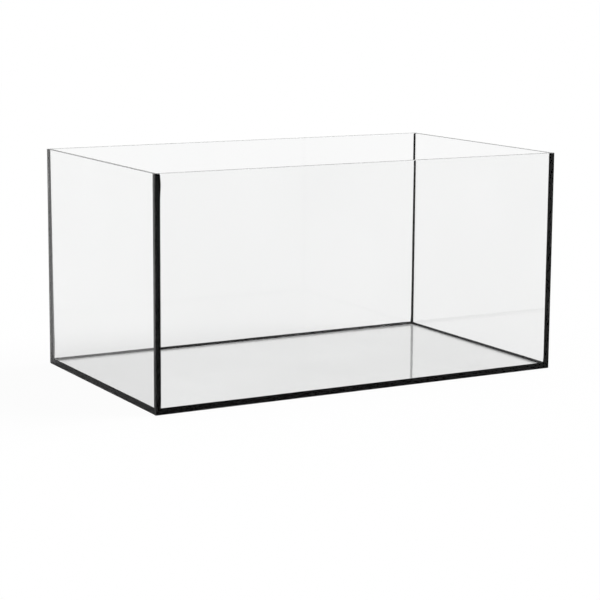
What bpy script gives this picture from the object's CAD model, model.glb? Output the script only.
import math
import bmesh
import bpy
from mathutils import Matrix, Vector, noise


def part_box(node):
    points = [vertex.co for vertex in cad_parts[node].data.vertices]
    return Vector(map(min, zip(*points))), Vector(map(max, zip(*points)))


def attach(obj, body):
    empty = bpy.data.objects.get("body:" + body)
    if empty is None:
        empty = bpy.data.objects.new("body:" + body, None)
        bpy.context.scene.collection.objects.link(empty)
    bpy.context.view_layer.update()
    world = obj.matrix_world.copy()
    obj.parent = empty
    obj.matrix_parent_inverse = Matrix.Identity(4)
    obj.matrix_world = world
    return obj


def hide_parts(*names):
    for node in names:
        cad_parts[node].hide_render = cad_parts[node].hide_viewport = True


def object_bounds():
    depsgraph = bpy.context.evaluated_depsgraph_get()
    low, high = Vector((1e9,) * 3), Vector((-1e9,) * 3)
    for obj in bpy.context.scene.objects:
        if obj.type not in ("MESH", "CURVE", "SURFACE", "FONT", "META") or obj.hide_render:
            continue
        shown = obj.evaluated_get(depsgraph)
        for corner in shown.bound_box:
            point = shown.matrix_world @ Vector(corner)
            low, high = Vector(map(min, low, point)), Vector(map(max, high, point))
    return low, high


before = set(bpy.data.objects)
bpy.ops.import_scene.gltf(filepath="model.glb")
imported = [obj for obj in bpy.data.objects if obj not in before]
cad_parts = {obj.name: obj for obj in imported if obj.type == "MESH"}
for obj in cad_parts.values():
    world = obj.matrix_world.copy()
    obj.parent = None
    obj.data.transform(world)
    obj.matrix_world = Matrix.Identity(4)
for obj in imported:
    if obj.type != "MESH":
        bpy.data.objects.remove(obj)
CAD_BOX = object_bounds()

# ---------------------------------------------------------------- sizes, in metres
MM = 0.001
ARRIS = 0.5 * MM            # ground along the free edges of every pane
ARRIS_STEPS = 3             # facets that round an arris
WETTING = 0.05 * MM         # how deep silicone is keyed into the glass, so no air shows between
BEAD_STEP = 4 * MM          # distance between two sections of a bead
BEAD_WAVER = 0.22 * MM      # how far a hand-tooled edge strays from its line
SLOW_WAVER = (18.0, 0.75, 0.3)      # its changes a metre, its share and its row in the noise
QUICK_WAVER = (95.0, 0.35, 7.9)     # the same for the finer waver on top of it
BEAD_SETTLE = 25 * MM       # length over which a bead comes back to its line at an end
BEAD_END = 1.2 * MM         # length over which an upright bead rounds off at its top
END_STOPS = (0.0, 0.5, 0.8, 1.0)    # where its sections are along that round end
BEAD_TIP = 0.62             # how wide it still is at its very top, as a share
SWOLLEN_BEAD = "corner_seal_front_left"
BEAD_SWELL = 0.9 * MM       # how far that bead bulges just below the rim
SWELL_DEPTH = 14 * MM       # how far below its top end it does so
SWELL_LENGTH = 9 * MM       # distance from the bulge's middle to where it has mostly faded
BEAD_FOOT = 12 * MM         # length over which a bead takes the width of those it meets
HOLLOW = 0.35 * MM          # depth of the tooled face of a seal
HOLLOW_STEPS = 8            # facets across that face
HOLLOW_START = 2            # which point of a seal's section that face starts at
MITRE_LAP = 0.05 * MM       # how far two mitred beads run into each other

POLISHED = 0.999            # a face lies along a pane if its normal is this near the pane's
FACING = 0.5                # a face looks a way if its normal goes more than this along it

UP = Vector((0, 0, 1))
WALLS = {
    "front": Vector((0, -1, 0)), "back": Vector((0, 1, 0)),
    "left": Vector((-1, 0, 0)), "right": Vector((1, 0, 0)),
}
CORNERS = [("front", "left"), ("front", "right"), ("back", "left"), ("back", "right")]

# How wide the hand laid a bead, at its start and at its end, as shares of its CAD width. Upright
# beads start at the foot, the back one at the left, and the left and right ones at the front.
LAID_WIDTHS = {
    "corner_seal_front_left": (1.1, 1.25),
    "corner_seal_front_right": (0.7, 0.7),
    "corner_seal_back_left": (1.3, 0.5),
    "corner_seal_back_right": (0.65, 0.4),
    "base_seal_back": (0.85, 1.15),
    "base_seal_left": (1.1, 1.15),
    "base_seal_right": (1.0, 0.85),
}

# Seeds of the beads' waver: the first bead's of a kind, and the step from one to the next
SEEDS = {
    "corner_seal": (3.0, 5.0),
    "long_base_seal": (41.0, 7.0),
    "end_base_seal": (67.0, 7.0),
    "corner_bond": (83.0, 3.0),
    "base_bond": (101.0, 3.0),
}
OTHER_LEG = 31.7            # added to a seal's seed for the edge of its second leg
OTHER_TRIM = 13.1           # added to a bond's seed for its second trimmed face

BASE_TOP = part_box("base_pane")[1].z
BOX_LO, BOX_HI = CAD_BOX


# ---------------------------------------------------------------- node helpers
def new_material(name):
    """An empty node material, its tree and its output."""
    material = bpy.data.materials.new(name)
    material.use_nodes = True
    tree = material.node_tree
    tree.nodes.clear()
    return material, tree, tree.nodes.new("ShaderNodeOutputMaterial")


def node(tree, kind, **inputs):
    """A new node with plain values on its sockets. A_b stands for the socket A b."""
    made = tree.nodes.new(kind)
    for name, value in inputs.items():
        made.inputs[name.replace("_", " ")].default_value = value
    return made


def noise_texture(tree, scale, detail):
    """Noise in object space, so that it stays on the piece."""
    place = tree.nodes.new("ShaderNodeTexCoord")
    texture = node(tree, "ShaderNodeTexNoise", Scale=scale, Detail=detail)
    tree.links.new(place.outputs["Object"], texture.inputs["Vector"])
    return texture.outputs["Fac"]


def colour_between(tree, factor, low, high, start=0.3, end=0.7):
    """A colour that goes from low to high as factor goes from start to end."""
    ramp = tree.nodes.new("ShaderNodeValToRGB")
    ramp.color_ramp.elements[0].position = start
    ramp.color_ramp.elements[0].color = (*low, 1)
    ramp.color_ramp.elements[1].position = end
    ramp.color_ramp.elements[1].color = (*high, 1)
    tree.links.new(factor, ramp.inputs["Fac"])
    return ramp.outputs["Color"]


def bump(tree, height, distance, strength):
    """A normal that follows a height."""
    made = node(tree, "ShaderNodeBump", Strength=strength, Distance=distance)
    tree.links.new(height, made.inputs["Height"])
    return made.outputs["Normal"]


# ---------------------------------------------------------------- materials of the tank
GLASS_IOR = 1.52
SILICONE_IOR = 1.41
MIRROR_TINT = (0.2, 0.2, 0.2, 1.0)     # holds back the mirror images in the panes
CLOUD_SCALE = 7.0
CLOUD_LOW = 0.35            # nearly all of the clouds' noise lies from here to 1 less this
FILM = 0.35                 # how much the film adds to it at most


def glass_material(name, clear, cloudy, axis, start, end):
    """Polished glass with a thin film that clouds it from start to end along an axis."""
    material, tree, output = new_material(name)
    glass = node(
        tree, "ShaderNodeBsdfPrincipled",
        Transmission_Weight=1.0, IOR=GLASS_IOR, Roughness=0.0, Specular_Tint=MIRROR_TINT,
    )
    place = tree.nodes.new("ShaderNodeTexCoord")
    along = tree.nodes.new("ShaderNodeSeparateXYZ")
    tree.links.new(place.outputs["Object"], along.inputs["Vector"])
    film = node(tree, "ShaderNodeMapRange", From_Min=start, From_Max=end, To_Min=0.0, To_Max=FILM)
    tree.links.new(along.outputs[axis], film.inputs["Value"])
    cloud = tree.nodes.new("ShaderNodeMath")
    cloud.operation = "ADD"
    tree.links.new(film.outputs["Result"], cloud.inputs[0])
    tree.links.new(noise_texture(tree, CLOUD_SCALE, detail=3.0), cloud.inputs[1])
    colour = colour_between(
        tree, cloud.outputs[0], clear, cloudy, CLOUD_LOW, 1.0 - CLOUD_LOW + FILM,
    )
    tree.links.new(colour, glass.inputs["Base Color"])
    tree.links.new(glass.outputs["BSDF"], output.inputs["Surface"])
    return material


def ground_edge_material():
    """The fine-ground edge and arris of a pane: satin, with the grinding wheel's grain."""
    material, tree, output = new_material("ground_glass_edge")
    glass = node(
        tree, "ShaderNodeBsdfPrincipled",
        Transmission_Weight=1.0, IOR=GLASS_IOR, Roughness=0.25,
    )
    grain = noise_texture(tree, scale=900.0, detail=4.0)
    colour = colour_between(tree, grain, low=(0.55, 0.57, 0.565), high=(0.65, 0.67, 0.665))
    tree.links.new(colour, glass.inputs["Base Color"])
    tree.links.new(bump(tree, grain, distance=0.02 * MM, strength=0.4), glass.inputs["Normal"])
    tree.links.new(glass.outputs["BSDF"], output.inputs["Surface"])
    return material


def silicone_skin_material():
    """Black silicone with a free, tooled surface."""
    material, tree, output = new_material("silicone_skin")
    skin = node(
        tree, "ShaderNodeBsdfPrincipled",
        IOR=SILICONE_IOR, Roughness=0.38, Specular_IOR_Level=0.12,
    )
    mottle = noise_texture(tree, scale=140.0, detail=3.0)
    colour = colour_between(
        tree, mottle, low=(0.0035, 0.0035, 0.0038), high=(0.006, 0.006, 0.0063),
    )
    tree.links.new(colour, skin.inputs["Base Color"])
    ripples = noise_texture(tree, scale=420.0, detail=2.0)
    normal = bump(tree, ripples, distance=0.05 * MM, strength=0.5)
    tree.links.new(normal, skin.inputs["Normal"])
    tree.links.new(skin.outputs["BSDF"], output.inputs["Surface"])
    return material


def silicone_wet_material():
    """Black silicone pressed against glass, which hides nearly all of its own shine."""
    material, tree, output = new_material("silicone_against_glass")
    wet = node(
        tree, "ShaderNodeBsdfPrincipled",
        IOR=SILICONE_IOR, Roughness=0.5, Specular_IOR_Level=0.02,
    )
    mottle = noise_texture(tree, scale=260.0, detail=3.0)
    colour = colour_between(
        tree, mottle, low=(0.002, 0.002, 0.0022), high=(0.0045, 0.0045, 0.0048),
    )
    tree.links.new(colour, wet.inputs["Base Color"])
    tree.links.new(wet.outputs["BSDF"], output.inputs["Surface"])
    return material


# The walls are cloudiest at their foot, and the base from its middle to its right end
WALL_GLASS = glass_material(
    "float_glass", clear=(0.953, 0.955, 0.954), cloudy=(0.934, 0.936, 0.935),
    axis="Z", start=BOX_HI.z, end=BOX_LO.z,
)
BASE_GLASS = glass_material(
    "base_glass", clear=(0.995, 0.997, 0.996), cloudy=(0.922, 0.924, 0.923),
    axis="X", start=BOX_LO.x, end=0.0,
)
EDGE_GLASS = ground_edge_material()
SILICONE_SKIN = silicone_skin_material()
SILICONE_WET = silicone_wet_material()


# ---------------------------------------------------------------- pieces
def add_piece(name, mesh, materials, node_name):
    """Links a mesh as a piece that stands for a CAD node and rides on the tank."""
    for material in materials:
        mesh.materials.append(material)
    piece = bpy.data.objects.new(name, mesh)
    bpy.context.scene.collection.objects.link(piece)
    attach(piece, "root")
    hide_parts(node_name)


def mesh_from(bm, name):
    """The mesh of a finished bmesh, with its faces turned outwards."""
    bmesh.ops.recalc_face_normals(bm, faces=bm.faces)
    mesh = bpy.data.meshes.new(name)
    bm.to_mesh(mesh)
    bm.free()
    return mesh


def is_free(edge, outward, ends_free):
    """True if an edge of a pane is ground. The edges that are glued stay square."""
    normals = [face.normal for face in edge.link_faces]
    side = [n for n in normals if abs(n.dot(outward)) < FACING]
    if len(side) != 1:
        return False
    faces_out = any(n.dot(outward) > FACING for n in normals)
    is_end = outward.z == 0 and abs(side[0].z) < FACING
    if is_end:
        return faces_out and ends_free
    return faces_out or (outward.z == 0 and side[0].z > FACING)


def make_pane(name, outward, ends_free, face_material):
    """A pane as its CAD node has it, with rounded arrises and ground edges of their own."""
    low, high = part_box(name)
    bm = bmesh.new()
    bmesh.ops.create_cube(bm, size=1.0)
    for vertex in bm.verts:
        vertex.co = Vector(
            [high[i] if vertex.co[i] > 0 else low[i] for i in range(3)]
        )
    bm.normal_update()
    free = [edge for edge in bm.edges if is_free(edge, outward, ends_free)]
    bmesh.ops.bevel(
        bm, geom=free, offset=ARRIS, offset_type="OFFSET",
        segments=ARRIS_STEPS, profile=0.5, affect="EDGES",
    )
    bm.normal_update()
    for face in bm.faces:
        face.material_index = 0 if abs(face.normal.dot(outward)) > POLISHED else 1
    mesh = mesh_from(bm, name + "_glass")
    add_piece("glass_" + name, mesh, [face_material, EDGE_GLASS], name)


def fade_in(stop, length, reach, both_ends):
    """0 where a bead meets others, at its start and perhaps its end, and 1 from reach on."""
    to_end = min(stop, length - stop) if both_ends else stop
    return min(max(to_end / reach, 0.0), 1.0)


def waver(stop, length, seed, both_ends=True):
    """How far the edge of a bead strays from its line, fading out where it meets others."""
    stray = 0.0
    for changes, share, row in (SLOW_WAVER, QUICK_WAVER):
        stray += share * noise.noise(Vector((stop * changes, seed, row)))
    return BEAD_WAVER * stray * fade_in(stop, length, BEAD_SETTLE, both_ends)


def seed_of(kind, number):
    """The seed of one bead of a kind, so that no two waver alike."""
    first, step = SEEDS[kind]
    return first + step * number


def even_stops(length):
    """Evenly spaced places along a bead for its sections."""
    count = max(int(length / BEAD_STEP), 2)
    return [length * i / count for i in range(count + 1)]


def seal_section(leg_a, leg_b, hollow):
    """Points round a seal, in its two legs' directions, from the corner and back."""
    points = [(-WETTING, -WETTING), (leg_a, -WETTING)]
    across = Vector((leg_b, leg_a)).normalized()
    for step in range(HOLLOW_STEPS + 1):
        t = step / HOLLOW_STEPS
        sag = hollow * (1 - (2 * t - 1) ** 2)
        points.append((leg_a * (1 - t) - across.x * sag, leg_b * t - across.y * sag))
    points.append((-WETTING, leg_b))
    return points


def bead_width(name, leg, stop, length, both_ends):
    """The width of a bead on the glass at a stop, before its edges waver."""
    if name not in LAID_WIDTHS:
        return leg
    at_start, at_end = LAID_WIDTHS[name]
    laid = leg * (at_start + (at_end - at_start) * stop / length)
    if name == SWOLLEN_BEAD:
        away = (length - stop - SWELL_DEPTH) / SWELL_LENGTH
        laid += BEAD_SWELL * math.exp(-away * away)
    return leg + (laid - leg) * fade_in(stop, length, BEAD_FOOT, both_ends)


def join_sections(bm, rings, free_strips, smooth):
    """Joins a bead's sections in order. Its free strips get material 0, and the rest material 1."""
    points = len(rings[0])
    for ring, following in zip(rings, rings[1:]):
        for i in range(points):
            j = (i + 1) % points
            face = bm.faces.new((ring[i], ring[j], following[j], following[i]))
            face.material_index = 0 if i in free_strips else 1
            face.smooth = smooth and i in free_strips


def make_seal(name, corner, run, leg_u, leg_v, leg, length, far_mitre, seed):
    """A seal bead from an inside corner along run, lying on the glass on leg_u's and leg_v's side."""
    stops = even_stops(length)
    if not far_mitre:
        stops = stops[:-1] + [length - BEAD_END * (1 - t) for t in END_STOPS]
    bm = bmesh.new()
    rings = []
    for index, stop in enumerate(stops):
        width = bead_width(name, leg, stop, length, far_mitre)
        a = width + waver(stop, length, seed, far_mitre)
        b = width + waver(stop, length, seed + OTHER_LEG, far_mitre)
        if not far_mitre:
            left_over = min((length - stop) / BEAD_END, 1.0)
            shrink = BEAD_TIP + (1 - BEAD_TIP) * math.sqrt(max(1 - (1 - left_over) ** 2, 0))
            a *= shrink
            b *= shrink
        ring = []
        for u, v in seal_section(a, b, HOLLOW):
            along = stop
            reach = max(u, v, 0.0) - MITRE_LAP
            if index == 0:
                along = reach
            elif index == len(stops) - 1 and far_mitre:
                along = length - reach
            ring.append(bm.verts.new(corner + run * along + leg_u * u + leg_v * v))
        rings.append(ring)
    tooled = range(HOLLOW_START, HOLLOW_START + HOLLOW_STEPS)
    join_sections(bm, rings, tooled, smooth=True)
    for ring in (rings[0], rings[-1]):
        for i in range(1, len(ring) - 1):
            bm.faces.new((ring[0], ring[i], ring[i + 1]))
    mesh = mesh_from(bm, name + "_bead")
    add_piece("silicone_" + name, mesh, [SILICONE_SKIN, SILICONE_WET], name)


def make_bond(name, through, run, seed):
    """A structural bead: the slab between two panes, keyed into both and trimmed by hand."""
    low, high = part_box(name)
    across = [axis for axis in "xyz" if axis not in (through, run)][0]
    # Which coordinate of a point each of the three directions is
    t, r, w = ("xyz".index(axis) for axis in (through, run, across))
    length = high[r] - low[r]
    bm = bmesh.new()
    rings = []
    for stop in even_stops(length):
        trim = [abs(waver(stop, length, seed + k * OTHER_TRIM)) for k in (0, 1)]
        ring = []
        for side_t, side_w in ((0, 0), (1, 0), (1, 1), (0, 1)):
            place = [0.0, 0.0, 0.0]
            place[r] = low[r] + stop
            place[t] = (low[t] - WETTING, high[t] + WETTING)[side_t]
            place[w] = (low[w] + trim[0], high[w] - trim[1])[side_w]
            ring.append(bm.verts.new(place))
        rings.append(ring)
    trimmed = (0, 2)
    join_sections(bm, rings, trimmed, smooth=False)
    for ring in (rings[0], rings[-1]):
        bm.faces.new(ring)
    mesh = mesh_from(bm, name + "_bead")
    add_piece("silicone_" + name, mesh, [SILICONE_SKIN, SILICONE_WET], name)


def make_panes():
    """The base and the four walls. The long walls cover the end walls' ends."""
    make_pane("base_pane", Vector((0, 0, -1)), True, BASE_GLASS)
    for wall, outward in WALLS.items():
        make_pane(wall + "_pane", outward, wall in ("front", "back"), WALL_GLASS)


def inside_corner(wall_y, wall_x):
    """Where a long wall, an end wall and the base meet inside, and the two ways inwards."""
    inwards_x, inwards_y = -WALLS[wall_x], -WALLS[wall_y]
    side = 0 if inwards_x.x > 0 else 1
    front = 0 if inwards_y.y > 0 else 1
    low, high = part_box("base_seal_" + wall_y)
    x = (low.x, high.x)[side]
    low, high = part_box("base_seal_" + wall_x)
    y = (low.y, high.y)[front]
    return Vector((x, y, BASE_TOP)), inwards_x, inwards_y


def make_seals():
    """The seals up the four inside corners and along the foot of the four walls."""
    low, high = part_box("base_seal_front")
    leg = high.z - low.z
    inner_length = high.x - low.x
    low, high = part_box("base_seal_left")
    inner_depth = high.y - low.y
    low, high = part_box("corner_seal_front_left")
    height = high.z - BASE_TOP
    for number, (wall_y, wall_x) in enumerate(CORNERS):
        corner, in_x, in_y = inside_corner(wall_y, wall_x)
        name = f"corner_seal_{wall_y}_{wall_x}"
        seed = seed_of("corner_seal", number)
        make_seal(name, corner, UP, in_x, in_y, leg, height, False, seed)
    for number, wall in enumerate(("front", "back")):
        corner, in_x, in_y = inside_corner(wall, "left")
        name = "base_seal_" + wall
        seed = seed_of("long_base_seal", number)
        make_seal(name, corner, in_x, in_y, UP, leg, inner_length, True, seed)
    for number, wall in enumerate(("left", "right")):
        corner, in_x, in_y = inside_corner("front", wall)
        name = "base_seal_" + wall
        seed = seed_of("end_base_seal", number)
        make_seal(name, corner, in_y, in_x, UP, leg, inner_depth, True, seed)


def make_bonds():
    """The structural beads in the upright corners and round the base."""
    for number, (wall_y, wall_x) in enumerate(CORNERS):
        make_bond(f"corner_bond_{wall_y}_{wall_x}", "y", "z", seed_of("corner_bond", number))
    for number, wall in enumerate(WALLS):
        along = "x" if wall in ("front", "back") else "y"
        through = "y" if along == "x" else "x"
        make_bond("base_bond_" + wall, through, along, seed_of("base_bond", number))


# ---------------------------------------------------------------- studio
FLOOR_SIZE = 12.0
FLOOR_GAP = 0.3 * MM        # air under the glass
FLOOR_COLOUR = (0.95, 0.95, 0.95, 1.0)
AMBIENT = 0.4               # strength of the plain light from all round
KEY_FROM = Vector((0.9, -0.2, 1.0))
KEY_STRENGTH = 2.79
KEY_SOFTNESS = math.radians(40)     # how wide the lamp's disc looks from the tank

# How far the floor is plain white to each kind of ray from the camera: seen directly, through glass
# and in a mirror image. The rest is the floor as it is lit, which keeps the tank's shadow. In the
# open the lights bring it to white by themselves.
FLOOR_WHITENESS = {"Is Camera Ray": 0.96, "Is Transmission Ray": 0.8, "Is Glossy Ray": 0.1}
BACKDROP_WHITENESS = {"Is Camera Ray": 1.0, "Is Transmission Ray": 1.0, "Is Glossy Ray": 1.0}


def whiteness(tree, shares):
    """The largest of the shares whose kind of ray this is, or 0 after a matt surface."""
    path = tree.nodes.new("ShaderNodeLightPath")
    largest = None
    for kind, share in shares.items():
        scaled = tree.nodes.new("ShaderNodeMath")
        scaled.operation = "MULTIPLY"
        scaled.inputs[1].default_value = share
        tree.links.new(path.outputs[kind], scaled.inputs[0])
        if largest is None:
            largest = scaled.outputs[0]
            continue
        either = tree.nodes.new("ShaderNodeMath")
        either.operation = "MAXIMUM"
        tree.links.new(largest, either.inputs[0])
        tree.links.new(scaled.outputs[0], either.inputs[1])
        largest = either.outputs[0]
    return largest


def make_floor():
    """A pale floor, mostly plain white where it is seen directly or through the glass."""
    mesh = bpy.data.meshes.new("floor")
    half = FLOOR_SIZE / 2
    z = BOX_LO.z - FLOOR_GAP
    mesh.from_pydata(
        [(-half, -half, z), (half, -half, z), (half, half, z), (-half, half, z)], [], [(0, 1, 2, 3)]
    )
    floor = bpy.data.objects.new("floor", mesh)
    bpy.context.scene.collection.objects.link(floor)
    material, tree, output = new_material("floor")
    shade = node(tree, "ShaderNodeBsdfDiffuse", Color=FLOOR_COLOUR)
    white = node(tree, "ShaderNodeEmission", Color=(1, 1, 1, 1), Strength=1.0)
    mix = tree.nodes.new("ShaderNodeMixShader")
    tree.links.new(whiteness(tree, FLOOR_WHITENESS), mix.inputs["Fac"])
    tree.links.new(shade.outputs[0], mix.inputs[1])
    tree.links.new(white.outputs[0], mix.inputs[2])
    tree.links.new(mix.outputs[0], output.inputs["Surface"])
    mesh.materials.append(material)


def make_world():
    """White where it is seen, reflected or looked at through glass, and a plain light elsewhere."""
    world = bpy.data.worlds.new("studio")
    bpy.context.scene.world = world
    world.use_nodes = True
    tree = world.node_tree
    tree.nodes.clear()
    output = tree.nodes.new("ShaderNodeOutputWorld")
    ambient = node(tree, "ShaderNodeBackground", Color=(1, 1, 1, 1), Strength=AMBIENT)
    white = node(tree, "ShaderNodeBackground", Color=(1, 1, 1, 1), Strength=1.0)
    mix = tree.nodes.new("ShaderNodeMixShader")
    tree.links.new(whiteness(tree, BACKDROP_WHITENESS), mix.inputs["Fac"])
    tree.links.new(ambient.outputs[0], mix.inputs[1])
    tree.links.new(white.outputs[0], mix.inputs[2])
    tree.links.new(mix.outputs[0], output.inputs["Surface"])


def make_light():
    """One wide, soft key light, high on the tank's right, that reaches the whole floor."""
    light = bpy.data.lights.new("key", "SUN")
    light.energy = KEY_STRENGTH
    light.angle = KEY_SOFTNESS
    lamp = bpy.data.objects.new("key", light)
    bpy.context.scene.collection.objects.link(lamp)
    lamp.rotation_euler = KEY_FROM.to_track_quat("Z", "Y").to_euler()
    lamp.visible_glossy = False     # its wide disc would draw bright arcs in the panes


# ---------------------------------------------------------------- camera
CAMERA_AZIMUTH = math.radians(-29.376)   # from the front wall's normal towards the left end
CAMERA_ELEVATION = math.radians(9.224)
CAMERA_ROLL = math.radians(0.37)
CAMERA_DISTANCE = 2.5717                 # from the origin, along the line of sight
CAMERA_ASIDE = 0.0017                    # from that line to the right
CAMERA_LIFT = 0.13304                    # from that line upwards
CAMERA_LENS = 110.71                     # in mm
SENSOR_WIDTH = 36.0                      # in mm
NEAREST = 0.05                           # the camera sees from here
FARTHEST = 50.0                          # to here
CAMERA_SHIFT = -0.05                     # a little of the lens shift that keeps upright lines upright


def make_camera():
    """A camera that looks along its line at the tank's front and left walls."""
    a, e, r = CAMERA_AZIMUTH, CAMERA_ELEVATION, CAMERA_ROLL
    back = Vector((math.sin(a) * math.cos(e), -math.cos(a) * math.cos(e), math.sin(e)))
    level = Vector((math.cos(a), math.sin(a), 0.0))
    rise = back.cross(level)
    right = level * math.cos(r) + rise * math.sin(r)
    up = rise * math.cos(r) - level * math.sin(r)
    camera = bpy.data.objects.new("camera", bpy.data.cameras.new("camera"))
    bpy.context.scene.collection.objects.link(camera)
    turn = Matrix((right, up, back)).transposed().to_4x4()
    place = back * CAMERA_DISTANCE + right * CAMERA_ASIDE + up * CAMERA_LIFT
    camera.matrix_world = Matrix.Translation(place) @ turn
    camera.data.sensor_width = SENSOR_WIDTH
    camera.data.lens = CAMERA_LENS
    camera.data.shift_y = CAMERA_SHIFT
    camera.data.clip_start = NEAREST
    camera.data.clip_end = FARTHEST
    bpy.context.scene.camera = camera


def set_render_options():
    """Glass needs long light paths: light runs down inside a pane from one face to the other."""
    scene = bpy.context.scene
    scene.view_settings.view_transform = "Standard"
    scene.cycles.max_bounces = 64
    scene.cycles.glossy_bounces = 64
    scene.cycles.transmission_bounces = 48
    scene.cycles.transparent_max_bounces = 16
    # Without caustics the glass throws a plain shadow, and the floor under the base is darker
    scene.cycles.caustics_reflective = False
    scene.cycles.caustics_refractive = False


make_camera()
make_panes()
make_bonds()
make_seals()
make_floor()
make_world()
make_light()
set_render_options()
